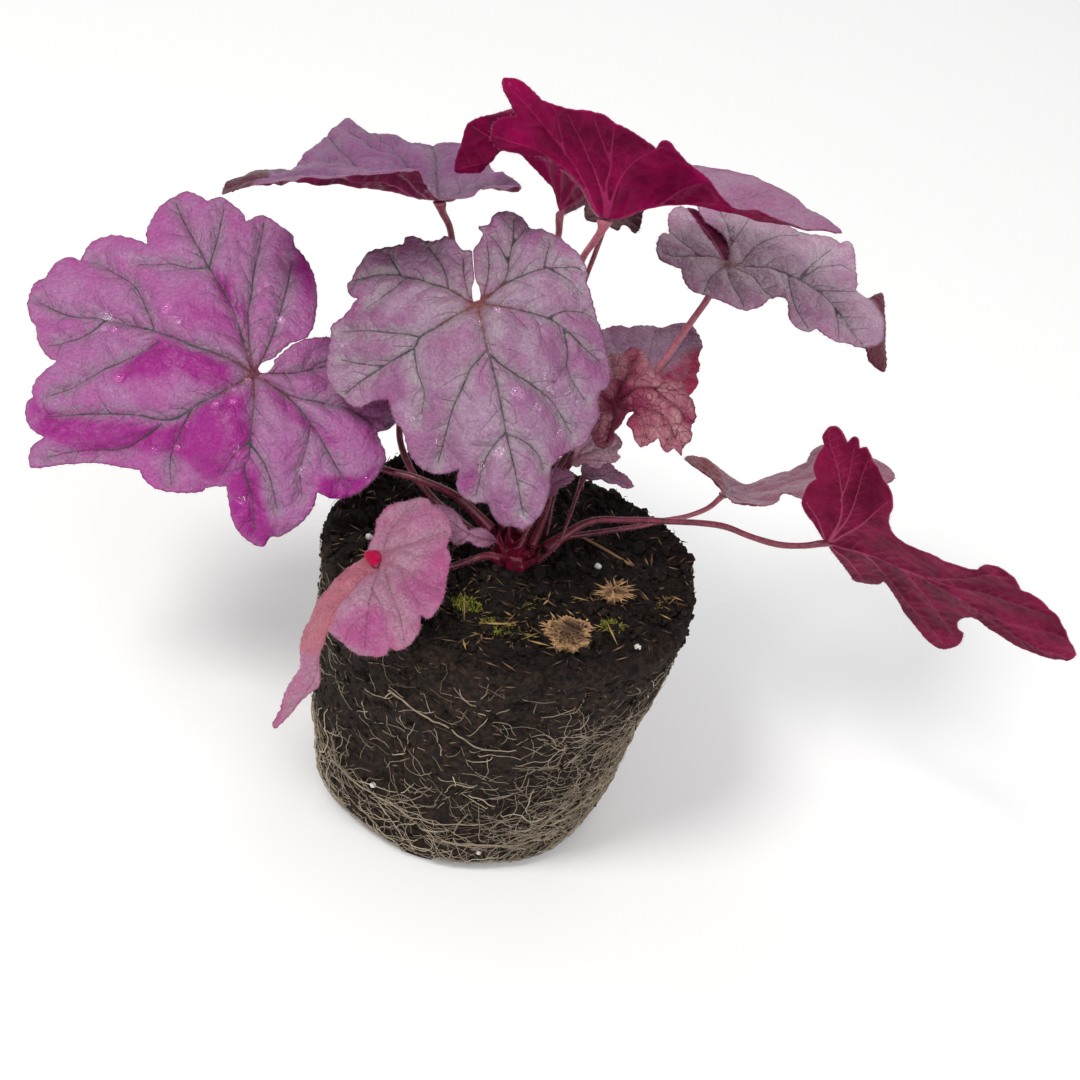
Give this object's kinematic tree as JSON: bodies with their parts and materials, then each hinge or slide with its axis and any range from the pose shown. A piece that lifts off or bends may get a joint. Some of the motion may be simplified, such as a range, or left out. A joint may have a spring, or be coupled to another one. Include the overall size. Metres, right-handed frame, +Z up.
{
  "type": "heuchera plant with bare root ball",
  "caption": "Heuchera (coral bells) lifted from its pot: a pot-shaped root ball with a short crown, thin maroon leaf stalks and lobed purple, silver-veined leaves with wine undersides.",
  "frame": {"origin": "middle of the flat base of the root ball, which rests on the surface", "axes": "+Z up along the root ball's axis; +X to the right, towards the side of the half-turned leaves; -Y the front, where the large open leaves face"},
  "size_m": [0.3414, 0.1579, 0.2396],
  "materials": {
    "leaf_rose": "soft satin leaf, mauve-pink with magenta patches and dark veins; wine-red underneath",
    "leaf_silver": "satin leaf with a silver-mauve bloom between dark grey-green veins",
    "leaf_wine": "glossy wine-red leaf underside with paler pink veins",
    "leaf_bronze": "crinkled young leaf, dark bronze with a fine tan network",
    "stalk_maroon": "smooth maroon stalk with short pale hairs",
    "crown_crimson": "bud scales and stalk bases, crimson to brown",
    "soil_dark": "moist, crumbly, nearly black peat compost",
    "bark_brown": "dry split bark and a dead stalk",
    "grit_white": "matt white perlite grains",
    "moss_green": "low yellow-green moss",
    "root_tan": "fine tan roots"
  },
  "bodies": {
    "root": {"leaf_1": "leaf_rose", "leaf_2": "leaf_silver", "leaf_3": "leaf_rose", "leaf_4": "leaf_wine", "leaf_5": "leaf_wine", "leaf_6": "leaf_silver", "leaf_7": "leaf_rose", "leaf_8": "leaf_wine", "leaf_9": "leaf_rose", "leaf_10": "leaf_silver", "leaf_11": "leaf_bronze", "leaf_12": "leaf_rose", "leaf_13": "leaf_rose", "leaf_14": "leaf_rose", "leaf_15": "leaf_bronze", "leaf_16": "leaf_rose", "stalk_1": "stalk_maroon", "stalk_2": "stalk_maroon", "stalk_3": "stalk_maroon", "stalk_4": "stalk_maroon", "stalk_5": "stalk_maroon", "stalk_6": "stalk_maroon", "stalk_7": "stalk_maroon", "stalk_8": "stalk_maroon", "stalk_9": "stalk_maroon", "stalk_10": "stalk_maroon", "stalk_11": "stalk_maroon", "stalk_12": "stalk_maroon", "stalk_13": "stalk_maroon", "stalk_14": "stalk_maroon", "stalk_15": "stalk_maroon", "crown": "crown_crimson", "root_ball": "soil_dark", "root_1": "root_tan", "root_2": "root_tan", "root_3": "root_tan", "root_4": "root_tan", "root_5": "root_tan", "root_6": "root_tan", "root_7": "root_tan", "root_8": "root_tan", "bark_chip_large": "bark_brown", "bark_chip_small": "bark_brown", "dry_stalk": "bark_brown", "grit_1": "grit_white", "grit_2": "grit_white", "grit_3": "grit_white", "moss_1": "moss_green", "moss_2": "moss_green", "moss_3": "moss_green"}
  },
  "joints": []
}
